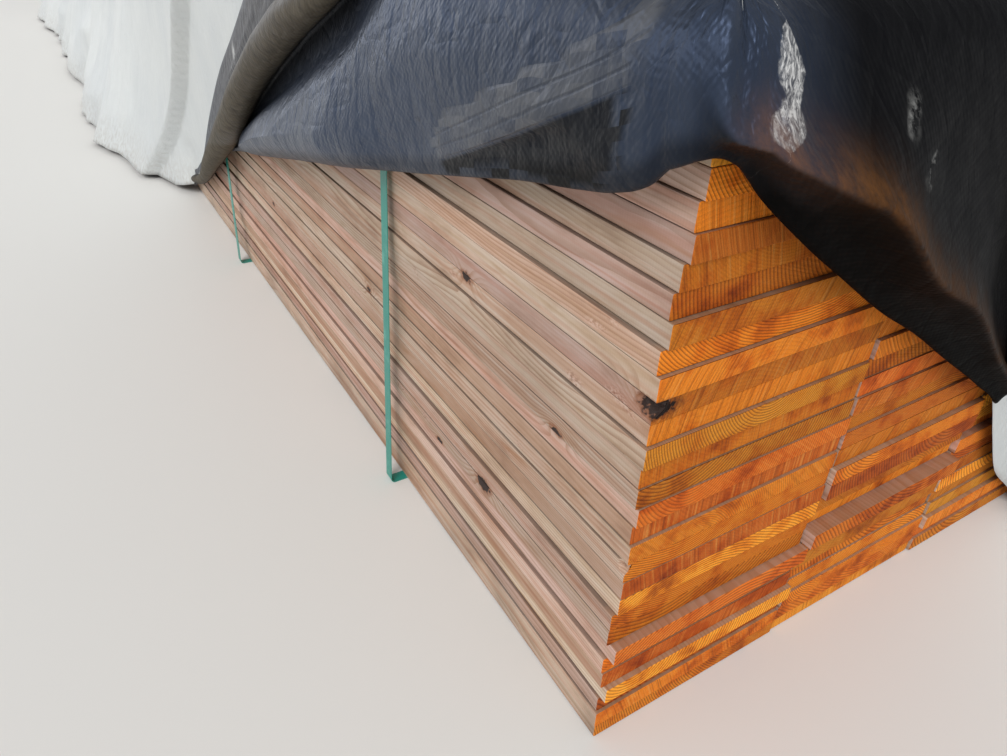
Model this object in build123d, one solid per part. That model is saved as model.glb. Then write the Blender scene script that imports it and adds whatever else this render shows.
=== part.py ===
from build123d import *

# Strapped stack of wide one-inch lumber under a lifted lumber wrap, in millimetres.
# +X runs along the boards to the open end, +Z is up, and the origin is the middle
# of the underside.
import os
from math import sin

os.makedirs("parts", exist_ok=True)

# Boards: nominal 1x10, surfaced dry, sixteen feet long
BOARD_LENGTH = 4876.8
BOARD_WIDTH = 235.0
BOARD_THICK = 19.0
EDGE_EASE = 1.2

# The stack
ACROSS = 5
LAYERS = 32
BOARD_GAP = 2.0
END_WANDER = 1.8

# Plastic straps round the stack, evenly spaced from the open end
STRAPS = 6
STRAP_WIDTH = 16.0
STRAP_THICK = 0.8
STRAP_END_INSET = 420.0
STRAP_SPACING = 762.0
STRAP_SLACK = 20.0
STRAP_SLACK_HEIGHT = 430.0
STRAP_BEND = 6.0

# Woven wrap, lifted at the near corner of the open end
WRAP_THICK = 3.0
WRAP_CLEAR = 0.3
WRAP_SIDE_CLEAR = 3.0
WRAP_END_CLEAR = 4.0
WRAP_FLARE = 165.0
WRAP_BELLY_FLARE = 45.0
WRAP_BELLY_HEIGHT = 300.0
WRAP_CORNER = 14.0
HEM_CLEAR = 4.0
LIFT_HEIGHT = 556.0
LIFT_ALONG = 1620.0
LIFT_ALONG_RISE = 368.0
LIFT_ACROSS = 640.0
LIFT_ACROSS_RISE = 350.0
LIFT_BELLY = 0.41

# How far each layer slid across, from the ground up, as it shows at the near corner
SIDE_SHIFT = [
    -6, -7.5, -6, -4, -7, -7.5, -4, -7.5, -7, -3.5, -2.5, -3, -1.5, -0.5, 0, -2.5,
    -2.5, -3.5, -1.5, -2, -2.5, -3, 1, 1, 3.5, 5.5, 5.5, 7.5, 6.5, 7.5, 5.5, 6.5,
]

# Boards whose ends stand out of the open end or sit back, by (layer, column)
END_STANDOUT = {
    (4, 1): 4.0, (7, 1): 6.0, (11, 1): 3.0, (24, 1): -4.0, (28, 1): 3.0,
    (8, 2): 9.0, (12, 2): 7.5, (11, 2): 4.0, (5, 2): -5.0, (9, 2): -4.0,
    (3, 3): 5.0, (10, 3): -5.0, (16, 3): 6.0, (19, 4): -4.0, (22, 5): 4.0,
}

stack_width = ACROSS * BOARD_WIDTH + (ACROSS - 1) * BOARD_GAP
stack_base = STRAP_THICK
stack_top = stack_base + LAYERS * BOARD_THICK


def side_shift(layer):
    """How far a layer, counted from 1 at the ground, slid across the stack."""
    return SIDE_SHIFT[(layer - 1) % len(SIDE_SHIFT)]


def end_shift(layer, column):
    """How far a board slid along the stack, towards the open end."""
    wander = END_WANDER * sin(2.3 * layer + 4.1 * column)
    return END_STANDOUT.get((layer, column), 0.0) + wander


near_face = -stack_width / 2 + min(side_shift(n) for n in range(1, LAYERS + 1))
far_face = stack_width / 2 + max(side_shift(n) for n in range(1, LAYERS + 1))
end_reach = max(
    abs(end_shift(n, c)) for n in range(1, LAYERS + 1) for c in range(1, ACROSS + 1)
)


def make_board():
    """One board, centred along its length, with its long edges eased."""
    section = Plane.YZ * Rectangle(BOARD_WIDTH, BOARD_THICK)
    section = chamfer(section.vertices(), EDGE_EASE)
    return extrude(section, BOARD_LENGTH / 2, both=True)


def make_layer(layer):
    """One layer of boards side by side, each slid a little along the stack."""
    z = stack_base + (layer - 0.5) * BOARD_THICK
    boards = []
    for column in range(1, ACROSS + 1):
        y = -stack_width / 2 + (column - 0.5) * BOARD_WIDTH + (column - 1) * BOARD_GAP
        place = Pos(end_shift(layer, column), y + side_shift(layer), z)
        boards.append(place * make_board())
    return Compound(children=boards)


def strap_outline(grow):
    """The strap's path round the stack, grown outwards by its thickness."""
    low, top = stack_base - grow, stack_top + grow
    near, far = near_face - grow, far_face + grow
    points = [
        (near - STRAP_SLACK, low), (near, low + STRAP_SLACK_HEIGHT), (near, top),
        (far, top), (far, low + STRAP_SLACK_HEIGHT), (far + STRAP_SLACK, low),
    ]
    outline = make_face(Polyline(*points, close=True))
    ends = [v for v in outline.vertices() if v.Y < low + 1]
    return fillet(ends, STRAP_BEND + grow)


def make_strap(x):
    """A closed band of strap, slack down the lower part of both sides."""
    band = strap_outline(STRAP_THICK) - strap_outline(0.0)
    return Pos(x, 0, 0) * extrude(Plane.YZ * band, STRAP_WIDTH / 2, both=True)


def wrap_form(grow):
    """The space under the wrap, grown outwards: upright at the top, spread at the ground."""
    top = stack_top + STRAP_THICK + WRAP_CLEAR + grow
    long = BOARD_LENGTH + 2 * (end_reach + WRAP_END_CLEAR + grow)
    wide = far_face - near_face + 2 * (STRAP_THICK + WRAP_SIDE_CLEAR + grow)
    middle = (far_face + near_face) / 2
    rings = []
    for flare, z in ((WRAP_FLARE, HEM_CLEAR), (WRAP_BELLY_FLARE, WRAP_BELLY_HEIGHT), (0.0, top)):
        radius = WRAP_CORNER + grow + flare / 2
        ring = RectangleRounded(long + 2 * flare, wide + 2 * flare, radius)
        rings.append(Pos(0, middle, z) * ring)
    return loft(rings)


def lift_cut(plane, rise, run, depth):
    """A blank under the lifted edge, which falls from the raised corner to the ground."""
    edge = ThreePointArc((0, LIFT_HEIGHT), (run * LIFT_BELLY, rise), (run, 0))
    rest = Polyline(
        (run, 0), (run, -depth), (-depth, -depth), (-depth, LIFT_HEIGHT), (0, LIFT_HEIGHT)
    )
    return extrude(plane * make_face([edge, rest]), depth)


def make_wrap():
    """The wrap: a flared skirt and top, cut back where its near corner is lifted."""
    shell = wrap_form(WRAP_THICK) - wrap_form(0.0)
    depth = 2 * WRAP_FLARE
    inside = WRAP_CORNER + WRAP_SIDE_CLEAR
    end_x = BOARD_LENGTH / 2 + end_reach
    side_start = (end_x, near_face + inside - depth, 0)
    side_plane = Plane(origin=side_start, x_dir=(-1, 0, 0), z_dir=(0, 1, 0))
    end_plane = Plane(origin=(end_x - inside, near_face, 0), x_dir=(0, 1, 0), z_dir=(1, 0, 0))
    shell -= lift_cut(side_plane, LIFT_ALONG_RISE, LIFT_ALONG, depth)
    shell -= lift_cut(end_plane, LIFT_ACROSS_RISE, LIFT_ACROSS, depth)
    return shell


for layer in range(1, LAYERS + 1):
    export_step(make_layer(layer), f"parts/layer_{layer:02d}.step")

first_strap = BOARD_LENGTH / 2 - STRAP_END_INSET
for strap in range(STRAPS):
    export_step(make_strap(first_strap - strap * STRAP_SPACING), f"parts/strap_{strap + 1}.step")

export_step(make_wrap(), "parts/wrap.step")
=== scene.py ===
import logging
import math
from dataclasses import dataclass, replace
from enum import Enum
from functools import partialmethod

import bpy
import numpy as np
from mathutils import Matrix, Vector


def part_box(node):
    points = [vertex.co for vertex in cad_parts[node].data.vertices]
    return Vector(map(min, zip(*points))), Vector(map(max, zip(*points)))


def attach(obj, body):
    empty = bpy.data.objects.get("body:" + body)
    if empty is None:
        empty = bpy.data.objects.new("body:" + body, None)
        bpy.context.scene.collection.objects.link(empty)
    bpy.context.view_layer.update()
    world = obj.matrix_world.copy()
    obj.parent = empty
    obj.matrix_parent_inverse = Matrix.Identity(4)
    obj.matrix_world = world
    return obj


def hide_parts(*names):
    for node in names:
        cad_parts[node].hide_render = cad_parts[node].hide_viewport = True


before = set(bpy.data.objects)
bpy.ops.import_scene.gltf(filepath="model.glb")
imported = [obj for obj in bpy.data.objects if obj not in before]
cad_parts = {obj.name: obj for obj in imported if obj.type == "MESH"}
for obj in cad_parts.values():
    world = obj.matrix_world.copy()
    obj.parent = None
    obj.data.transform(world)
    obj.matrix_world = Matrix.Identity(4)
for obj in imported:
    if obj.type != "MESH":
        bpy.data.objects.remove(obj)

LOG = logging.getLogger("lumber_stack")
MM = 0.001
TURN = 2 * math.pi
LAYERS = 32
STRAPS = 6
Table = tuple[tuple[float, float], ...]


# Numbers on arrays


def smoothstep(low: float, high: float, x: np.ndarray) -> np.ndarray:
    """Ease from 0 below low to 1 above high.

    Formula: t = clipped (x - low) / (high - low), and the result is t squared times
    three minus two t.

    Args:
        low: Where the ease starts.
        high: Where it ends.
        x: Values to ease.

    Returns:
        The eased values, in the shape of x.
    """
    t = np.clip((np.asarray(x, float) - low) / (high - low), 0.0, 1.0)
    return t * t * (3.0 - 2.0 * t)


def bell(x: np.ndarray, width: float | np.ndarray) -> np.ndarray:
    """A bump of height 1 round zero: e to the power of minus the square of x over the width."""
    return np.exp(-((x / width) ** 2))


def lattice(ix: np.ndarray, iy: np.ndarray, seed: int) -> np.ndarray:
    """A repeatable number from 0 to 1 for each whole-numbered grid point.

    Formula: the two whole numbers and the seed are multiplied by large odd numbers,
    mixed by shifts and exclusive or, and the low 24 bits are divided by their range.

    Args:
        ix: Whole numbers along the first axis.
        iy: Whole numbers along the second axis.
        seed: Which of many independent lattices.

    Returns:
        Numbers from 0 to 1.
    """
    h = ix.astype(np.int64) * 374761393 + iy.astype(np.int64) * 668265263 + seed * 974634777
    h = (h ^ (h >> 13)) * 1274126177
    h = h ^ (h >> 16)
    return (h & 0xFFFFFF) / float(0xFFFFFF)


def noise(x: np.ndarray, y: np.ndarray, seed: int) -> np.ndarray:
    """Smooth noise from -1 to 1 with one bump to each unit square.

    Formula: lattice values at the four corners of each unit square, blended by a
    fifth-degree ease in both directions.

    Args:
        x: First coordinate.
        y: Second coordinate.
        seed: Which of many independent fields.

    Returns:
        Noise in the broadcast shape of x and y.
    """
    x, y = np.broadcast_arrays(np.asarray(x, float), np.asarray(y, float))
    ix, iy = np.floor(x), np.floor(y)
    ux, uy = (f * f * f * (f * (f * 6 - 15) + 10) for f in (x - ix, y - iy))
    a, b = lattice(ix, iy, seed), lattice(ix + 1, iy, seed)
    c, d = lattice(ix, iy + 1, seed), lattice(ix + 1, iy + 1, seed)
    return 2.0 * ((a + (b - a) * ux) * (1 - uy) + (c + (d - c) * ux) * uy) - 1.0


def crease(x: np.ndarray, y: np.ndarray, seed: int, layers: int = 2) -> np.ndarray:
    """Sharp-ridged folds from 0 to 1, as in crumpled sheet.

    Formula: one minus the size of the noise, squared, summed over layers of twice
    the pitch and half the height, the coordinates first bent by softer noise.

    Args:
        x: First coordinate, in units of one fold.
        y: Second coordinate.
        seed: Which of many independent fields.
        layers: How many layers are summed.

    Returns:
        The fold height, 1 on the ridges.
    """
    bend = 0.35 * noise(0.7 * x, 0.7 * y, seed + 91)
    total, height, share = 0.0, 1.0, 0.0
    for layer in range(layers):
        ridge = 1.0 - np.abs(noise(x * 2**layer + bend, y * 2**layer - bend, seed + 17 * layer))
        total, share, height = total + height * ridge**2, share + height, height / 2
    return total / share


def curve(points: Table, x: np.ndarray) -> np.ndarray:
    """A smooth line through a few points, read at x.

    Formula: cubic Hermite pieces whose slopes are the means of the chords on each
    side, held level past the ends.

    Args:
        points: Pairs of place and value, in rising order of place.
        x: Where to read the line.

    Returns:
        The values at x.
    """
    px, py = (np.array(v, float) for v in zip(*points))
    chord = np.diff(py) / np.diff(px)
    slope = np.concatenate([chord[:1], (chord[1:] + chord[:-1]) / 2, chord[-1:]])
    x = np.clip(np.asarray(x, float), px[0], px[-1])
    k = np.clip(np.searchsorted(px, x, side="right") - 1, 0, len(px) - 2)
    h = px[k + 1] - px[k]
    t = (x - px[k]) / h
    return (
        (2 * t**3 - 3 * t**2 + 1) * py[k]
        + (t**3 - 2 * t**2 + t) * h * slope[k]
        + (3 * t**2 - 2 * t**3) * py[k + 1]
        + (t**3 - t**2) * h * slope[k + 1]
    )


def spline_rows(control: np.ndarray, rows: int) -> tuple[np.ndarray, np.ndarray]:
    """Even samples along one uniform cubic B-spline for each column.

    Formula: the end control points are tripled, each span blends its four nearest
    control points with the cubic B-spline weights, and the samples are then spaced
    by the mean and the greatest length of the polyline over all columns.

    Args:
        control: Control points in the shape (columns, points, 2).
        rows: How many samples each column gets.

    Returns:
        Samples in the shape (columns, rows, 2), and each row's place, counted in
        control points from 0.
    """
    c = np.concatenate([control[:, :1]] * 2 + [control] + [control[:, -1:]] * 2, axis=1)
    spans = c.shape[1] - 3

    def at(u: np.ndarray) -> np.ndarray:
        """The spline's points at one set of places along it.

        Args:
            u: The places, from 0 to the number of spans.

        Returns:
            Points in the shape (columns, places, 2).
        """
        k = np.minimum(u.astype(int), spans - 1)
        t = (u - k)[None, :, None]
        p0, p1, p2, p3 = (c[:, k + i] for i in range(4))
        return (
            (1 - t) ** 3 * p0
            + (3 * t**3 - 6 * t**2 + 4) * p1
            + (-3 * t**3 + 3 * t**2 + 3 * t + 1) * p2
            + t**3 * p3
        ) / 6

    fine = np.linspace(0, spans, spans * 24)
    steps = np.linalg.norm(np.diff(at(fine), axis=1), axis=2)
    step = steps.mean(axis=0) + 0.6 * steps.max(axis=0)
    run = np.concatenate([[0.0], np.cumsum(step + 0.8 * MM)])
    u = np.interp(np.linspace(0, run[-1], rows), run, fine)
    return at(u), u - 1


# Meshes and nodes


def make_mesh(name: str, points: np.ndarray, faces: list, smooth: bool = True) -> bpy.types.Object:
    """An object at the origin from points and faces.

    Args:
        name: The piece's name.
        points: Places in the shape (count, 3), in metres.
        faces: Corner numbers of each polygon.
        smooth: Whether the faces are shaded smooth.

    Returns:
        The new object, linked to the scene.
    """
    mesh = bpy.data.meshes.new(name)
    mesh.from_pydata(np.asarray(points, float).tolist(), [], faces)
    mesh.polygons.foreach_set("use_smooth", np.full(len(mesh.polygons), smooth))
    mesh.update()
    piece = bpy.data.objects.new(name, mesh)
    bpy.context.scene.collection.objects.link(piece)
    return piece


def grid_quads(columns: int, rows: int, closed: bool) -> np.ndarray:
    """Corner numbers of the quads of a grid stored column after column.

    Args:
        columns: How many columns of points.
        rows: How many points in each column.
        closed: Whether the last column joins the first.

    Returns:
        Quads in the shape (count, 4).
    """
    i = np.arange(columns if closed else columns - 1)[:, None]
    j = np.arange(rows - 1)[None, :]
    k = (i + 1) % columns
    corners = (i * rows + j, k * rows + j, k * rows + j + 1, i * rows + j + 1)
    return np.stack(corners, -1).reshape(-1, 4)


def set_attribute(mesh: bpy.types.Mesh, name: str, values: np.ndarray) -> None:
    """Store one vector for each point of a mesh under the name that a finish reads."""
    layer = mesh.attributes.new(name, "FLOAT_VECTOR", "POINT")
    layer.data.foreach_set("vector", np.asarray(values, np.float32).ravel())


def linear(colour: str) -> tuple[float, float, float, float]:
    """An sRGB hex colour such as "C8A07A" as linear red, green, blue and alpha."""
    parts = [int(colour[i : i + 2], 16) / 255 for i in (0, 2, 4)]
    return (*[p / 12.92 if p <= 0.04045 else ((p + 0.055) / 1.055) ** 2.4 for p in parts], 1.0)


def add_node(
    tree: bpy.types.NodeTree, kind: str, inputs: dict | None = None,
    stops: tuple[tuple[float, str], ...] = (), **named
) -> bpy.types.Node:
    """Add a node with its settings, values and links.

    Args:
        tree: The node tree.
        kind: The node's type, without the "ShaderNode" in front of it.
        inputs: Socket number to a number, a tuple, an sRGB hex colour, or the value
            that feeds it.
        stops: A colour ramp's stops, as place and sRGB hex colour.
        **named: Sockets by name, with a capital letter and _ for a space, and the
            node's own settings, in small letters.

    Returns:
        The new node.
    """
    node = tree.nodes.new("ShaderNode" + kind)
    sockets = dict(inputs or {})
    for key, value in named.items():
        if key[0].isupper():
            sockets[key.replace("_", " ")] = value
        else:
            setattr(node, key, value)
    for key, value in sockets.items():
        if isinstance(value, Value):
            tree.links.new(value.socket, node.inputs[key])
        else:
            node.inputs[key].default_value = linear(value) if isinstance(value, str) else value
    if stops:
        elements = node.color_ramp.elements
        while len(elements) < len(stops):
            elements.new(0.5)
        for element, (place, colour) in zip(elements, stops):
            element.position, element.color = place, linear(colour)
    return node


@dataclass(frozen=True)
class Value:
    """A node's output, which feeds other nodes and can stand in plain arithmetic."""

    tree: bpy.types.NodeTree
    socket: bpy.types.NodeSocket

    def into(
        self, kind: str, *others: "float | tuple | str | Value", out: int | str = 0, **named
    ) -> "Value":
        """One output of a new node, whose first sockets take this value and the others."""
        node = add_node(self.tree, kind, dict(enumerate((self, *others))), **named)
        return Value(self.tree, node.outputs[out])

    def parts(self, kind: str) -> tuple["Value", ...]:
        """All outputs of a new node that takes this value."""
        node = add_node(self.tree, kind, {0: self})
        return tuple(Value(self.tree, socket) for socket in node.outputs)

    __add__ = partialmethod(into, "Math", operation="ADD")
    __sub__ = partialmethod(into, "Math", operation="SUBTRACT")
    __mul__ = partialmethod(into, "Math", operation="MULTIPLY")
    __truediv__ = partialmethod(into, "Math", operation="DIVIDE")


class Finish:
    """A material in the making."""

    def __init__(self, name: str) -> None:
        """Start an empty node material under the finish's name.

        Args:
            name: The finish's name.
        """
        self.made = bpy.data.materials.new(name)
        self.made.use_nodes = True
        self.tree = self.made.node_tree
        self.tree.nodes.clear()

    def add(self, kind: str, inputs: dict | None = None, out: int | str = 0, **named) -> Value:
        """Add a node and take one of its outputs."""
        return Value(self.tree, add_node(self.tree, kind, inputs, **named).outputs[out])

    def stored(self, name: str) -> tuple[Value, ...]:
        """The three numbers that the mesh holds for each point under a name."""
        return self.add("Attribute", out="Vector", attribute_name=name).parts("SeparateXYZ")

    def close(
        self, colour: str | Value, layers: tuple, height: Value, strength: float, depth: float,
        **levels: float | str | Value
    ) -> bpy.types.Material:
        """Lay the colours over one another, feed the shader and end the material.

        Args:
            colour: The colour under all others.
            layers: What lies over it, from the bottom up, each as how much of it
                shows, its colour and, unless it is plain, how it blends.
            height: The relief, in units of the depth.
            strength: How much of the relief shows, from 0 to 1.
            depth: The relief's unit in metres.
            **levels: The shader's other inputs, with _ for a space in their names.

        Returns:
            The material.
        """
        for share, over, *mode in layers:
            blend = mode[0] if mode else "MIX"
            colour = self.add("Mix", {0: share, 6: colour, 7: over}, 2, data_type="RGBA", blend_type=blend)
        normal = self.add("Bump", Height=height, Strength=strength, Distance=depth)
        shader = self.add("BsdfPrincipled", Base_Color=colour, Normal=normal, **levels)
        add_node(self.tree, "OutputMaterial", Surface=shader)
        return self.made


# Finishes


@dataclass(frozen=True)
class Grain:
    """What a board's two finishes share: its place, rings, knots and own tone."""

    place: Value
    x: Value
    y: Value
    z: Value
    rings: Value
    knot: Value
    collar: Value
    halo: Value
    joint_dirt_and_shade: Value
    ledge: Value
    tone: Value
    warmth: Value
    seed: Value


@dataclass(frozen=True)
class RingPattern:
    """Growth rings shared by a board's planed faces and its sawn ends.

    The rings are cylinders round the board's own pith, which the boards' "pith"
    attribute places outside the section, so the faces show long grain and the ends
    show arcs of the same rings.
    """

    wobble: float = 6.0 * MM
    pitch: float = 19.0 * MM
    base: float = 0.8 * MM
    knots: tuple[tuple[float, float, float, float], ...] = ()

    def build(self, f: Finish) -> Grain:
        """Add the ring nodes to a finish.

        Formula: the distance of a point from the pith line, bent by slow noise and
        pushed aside round each knot, divided by the board's ring spacing.

        Args:
            f: The finish.

        Returns:
            The grain at each point.
        """
        place = f.add("TexCoord", out="Object")
        x, y, z = place.parts("SeparateXYZ")
        pith_y, pith_z, spacing = f.stored("pith")
        tone, warmth, seed = f.stored("looks")
        own = tone.into("CombineXYZ", warmth, seed).into("VectorMath", Scale=37.0, operation="SCALE")
        slow, quick = (
            place.into("VectorMath", scale, own, operation="MULTIPLY_ADD")
            .into("TexNoise", Scale=1.0, Detail=detail)
            for scale, detail in (((3.2, 6.0, 9.0), 1.0), ((14.0, 40.0, 40.0), 2.0))
        )
        dy, dz = y - pith_y, z - pith_z
        radius = (dy * dy + dz * dz).into("Math", operation="SQRT")
        radius = radius + slow * (4 * self.wobble) + quick * (0.35 * self.wobble)
        rough = place.into("TexNoise", Scale=260.0, Detail=3.0) * 1.1 - 0.55
        knot = collar = halo = x * 0.0
        for *centre, size in self.knots:
            gap = place.into("VectorMath", tuple(centre), operation="SUBTRACT")
            flat = gap.into("VectorMath", (0.55 / size, 0.35 / size, 1.0 / size), operation="MULTIPLY")
            away = flat.into("VectorMath", operation="LENGTH", out="Value")
            swell = (away * away * -0.20).into("Math", operation="EXPONENT")
            radius = radius + swell * (2.2 * size)
            frayed = away + quick * 0.7 + rough
            inside, round_it = (
                frayed.into("MapRange", far, near, interpolation_type="SMOOTHSTEP")
                for far, near in ((1.30, 1.10), (1.85, 1.25))
            )
            knot = knot.into("Math", inside, operation="MAXIMUM")
            collar = collar.into("Math", round_it, operation="MAXIMUM")
            halo = halo.into("Math", swell * 0.8, operation="MAXIMUM")
        # joints between the layers: how near a height is to the meeting of two boards, where dirt and painted
        # shade darken the wood
        level = (z * (1 / self.pitch) - self.base / self.pitch).into("Math", operation="FRACT")
        near = (level * 2.0 - 1.0).into("Math", operation="ABSOLUTE")
        uneven = (x * 3.0).into("CombineXYZ", y, z * 23.0).into("TexNoise", Scale=1.0, Detail=1.0)
        gape = near + uneven.into("MapRange", 0.42, 0.68, 0.0, 0.045)
        facing = f.add("NewGeometry", out="True Normal").parts("SeparateXYZ")[2]
        ledge = facing.into("Math", operation="ABSOLUTE").into("Math", 0.8, operation="GREATER_THAN")
        joint_dirt_and_shade = gape.into("MapRange", 0.972, 0.994, interpolation_type="SMOOTHSTEP")
        joint_dirt_and_shade = joint_dirt_and_shade * (ledge * -1.0 + 1.0)
        return Grain(place, x, y, z, radius / spacing, knot, collar, halo, joint_dirt_and_shade, ledge, tone, warmth, seed)


@dataclass(frozen=True)
class PlanedSoftwood:
    """Kiln-dried softwood, machine planed: pale tan to pink, with fine long grain,
    faint planer marks, brown stains and dark joints between the boards, of dirt and painted shade."""

    rings: RingPattern
    pale: str = "D9C6B4"
    pink: str = "DABCB2"
    tan: str = "C6A68E"
    cream: str = "E0D1BC"
    late: str = "97694A"
    stain: str = "A0693A"
    dirt: str = "6E6054"
    # the colours of the flat tops and undersides: orange-brown at the open end, grey-brown elsewhere
    ledge_orange: str = "A86E3A"
    dust: str = "5A4A40"
    gap: str = "3A2C24"
    gum: str = "2C1810"
    collar: str = "8A5433"

    def material(self) -> bpy.types.Material:
        """Long grain from the shared rings, fine fibre streaks and a board's own tone.

        Returns:
            The material for the planed faces.
        """
        f = Finish("planed_softwood")
        r = self.rings.build(f)
        # latewood darkens slowly through a year's growth and ends at a sharp line
        year = r.rings.into("Math", operation="FRACT")
        late = year.into("MapRange", 0.30, 0.98, interpolation_type="SMOOTHSTEP")
        fibre, band, patch, torn, speck, stain, smudge = (
            r.place.into("Mapping", Scale=scale)
            .into("TexNoise", Scale=1.0, Detail=detail, Roughness=rough, Distortion=bend)
            for scale, detail, rough, bend in (
                # fibre streaks: 0.6 mm across, 90 mm along, and broad bands of tone
                ((11.0, 1500.0, 1500.0), 3.0, 0.6, 0.0), ((1.6, 90.0, 120.0), 3.0, 0.5, 0.4),
                # weathered and fresh areas in blotches of about 100 mm by 30 mm
                ((10.0, 34.0, 34.0), 5.0, 0.62, 0.0),
                # torn grain: spots of about 30 mm where the planer lifted fibres, speckled
                ((12.0, 30.0, 30.0), 1.0, 0.5, 0.3), ((330.0, 620.0, 620.0), 2.0, 0.5, 0.0),
                # resin and water stains drawn out along the grain, 150 mm by 15 mm
                ((7.0, 40.0, 62.0), 4.0, 0.5, 0.9),
                # handling dirt in soft blotches of about 120 mm
                ((8.0, 8.0, 8.0), 5.0, 0.5, 0.0),
            )
        )
        own = r.warmth.into("ValToRGB", stops=(
            (0.0, self.cream), (0.2, self.pale), (0.5, self.pale),
            (0.68, self.pink), (0.88, self.pink), (1.0, self.tan),
        ))
        banded, mottle, speckle = (
            pattern.into("ValToRGB", stops=stops)
            for pattern, stops in (
                (band, ((0.30, "EFE6D8"), (0.48, "FFFFFF"), (0.60, "F3DCD2"), (0.74, "DDBFA6"))),
                (patch, ((0.30, "C9B4A2"), (0.45, "F3E9DF"), (0.60, "FFFFFF"), (0.75, "E3D3BE"))),
                (speck, ((0.38, "7C4B36"), (0.50, "CFA08C"), (0.62, "E6CDBE"))),
            )
        )
        torn = torn.into("MapRange", 0.70, 0.76)
        # planer marks: faint bars across the board, 2.4 mm apart
        bars = (r.x * (TURN / (2.4 * MM))).into("Math", operation="SINE")
        # the smudges grow stronger towards the bottom, over the lowest 80 mm
        smudged = smudge.into("MapRange", 0.45, 0.75) * (r.z.into("MapRange", 0.08, 0.0) * 0.6 + 0.14)
        layers = (
            (late * (r.seed * 0.44 + 0.16), self.late),
            (fibre * 0.55 - 0.14, self.tan),
            (0.8, banded, "MULTIPLY"),
            (0.75, mottle, "MULTIPLY"),
            (torn * 0.6, speckle),
            (1.0, (bars * 0.018 + 1.0) * (r.tone * 0.34 + 0.77), "MULTIPLY"),
            (stain.into("MapRange", 0.60, 0.76) * 0.55, self.stain),
            (r.halo * (late * 0.5 + 0.15), self.stain),
            (smudged, self.dirt),
            # the boards' flat tops and undersides are darkened grey-brown, less so at the fresh-cut open end,
            # where they turn orange-brown
            (r.ledge * r.x.into("MapRange", 2.425, 2.438, 0.0, 0.6), self.ledge_orange),
            (r.ledge * r.x.into("MapRange", 2.440, 2.425, 0.12, 0.66), self.dust),
            # dirt and painted shade in the joints between the layers
            (r.joint_dirt_and_shade * 0.86, self.gap),
            (r.collar * 0.7, self.collar),
            (r.knot, self.gum),
        )
        pitted = torn * (speck * 3.0) + r.knot * -2.5
        height = late * 0.3 + fibre + bars * 0.05 + pitted
        return f.close(own, layers, height, 0.4, 0.3 * MM, Roughness=0.70)


@dataclass(frozen=True)
class SawnEndGrain:
    """Cross-cut softwood: thirsty, darker and more orange than the faces, with rings,
    slanted marks of the saw, and torn, darker patches."""

    rings: RingPattern
    early: str = "EC8822"
    red: str = "CE6722"
    gold: str = "F6A832"
    late: str = "6E3614"
    dust: str = "EBA453"
    gap: str = "2A1408"
    collar: str = "5A2C14"
    gum: str = "1A0E0A"

    def material(self) -> bpy.types.Material:
        """Ring arcs and saw marks at each board's own slant.

        Returns:
            The material for the sawn ends.
        """
        f = Finish("sawn_end_grain")
        r = self.rings.build(f)
        year = r.rings.into("Math", operation="FRACT")
        late = year.into("MapRange", 0.35, 0.93, interpolation_type="SMOOTHSTEP")
        own = r.warmth.into("ValToRGB", stops=(
            (0.0, self.gold), (0.3, self.early), (0.62, self.early), (1.0, self.red),
        ))
        # a board shows either its rings or the saw's marks more, by its own seed
        ringed = r.seed.into("MapRange", 0.35, 0.60)
        sawing = ringed * -0.85 + 1.0
        # saw marks: about 2 mm apart, slanted by the board's own seed
        slant = r.seed * 2.6 - 0.5
        sine, cosine = (slant.into("Math", operation=operation) for operation in ("SINE", "COSINE"))
        along = r.y * cosine + r.z * sine
        marks = (along * 480.0).into("CombineXYZ", r.z * 10.0, r.seed * 9.0)
        marks = marks.into("TexNoise", Scale=1.0, Detail=1.0, Roughness=0.6)
        fine = r.place.into("TexNoise", Scale=900.0, Detail=2.0)
        uneven = r.place.into("TexNoise", Scale=26.0, Detail=5.0, Roughness=0.6)
        mottle = uneven.into("ValToRGB", stops=(
            (0.30, "A0622F"), (0.44, "EBCB9C"), (0.55, "FFFFFF"), (0.76, "FFE6B4"),
        ))
        layers = (
            (late * (ringed * 0.52 + 0.12), self.late),
            (marks.into("MapRange", 0.54, 0.72, 0.0, 0.50) * sawing, self.dust),
            (marks.into("MapRange", 0.47, 0.28, 0.0, 0.46) * sawing, self.late),
            (0.85, mottle, "MULTIPLY"),
            (1.0, (fine * 0.5 + 0.78) * (r.tone * 0.62 + 0.66), "MULTIPLY"),
            # dirt and painted shade in the joints between the layers
            (r.joint_dirt_and_shade * 0.8, self.gap),
            (r.collar * 0.7, self.collar),
            (r.knot, self.gum),
        )
        height = marks * 2.2 + late * 0.3 + fine * 0.5
        return f.close(own, layers, height, 0.7, 0.6 * MM, Roughness=0.82, Specular_IOR_Level=0.25)


@dataclass(frozen=True)
class PolyesterStrap:
    """Embossed polyester strapping: teal green, smooth, a soft plastic gloss."""

    colour: str = "1F8F80"
    worn: str = "6DB7A8"
    pitch: float = 1.5 * MM

    def material(self) -> bpy.types.Material:
        """Waffle embossing, one pitch across, and pale scuffs.

        Returns:
            The material.
        """
        f = Finish("polyester_strap")
        place = f.add("TexCoord", out="Object")
        x, y, z = place.parts("SeparateXYZ")
        first, second = (
            ((y + z + x * way) * (TURN / self.pitch)).into("Math", operation="SINE") for way in (1.0, -1.0)
        )
        scuff = place.into("TexNoise", Scale=45.0, Detail=4.0).into("MapRange", 0.56, 0.72)
        layers = ((scuff * 0.6, self.worn),)
        return f.close(self.colour, layers, first * second, 0.25, 0.15 * MM, Roughness=0.34, IOR=1.57)


class WrapSide(Enum):
    """The two faces of the coated woven sheet."""

    WHITE = "white_coated_weave"
    BLACK = "black_coated_weave"


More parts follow.
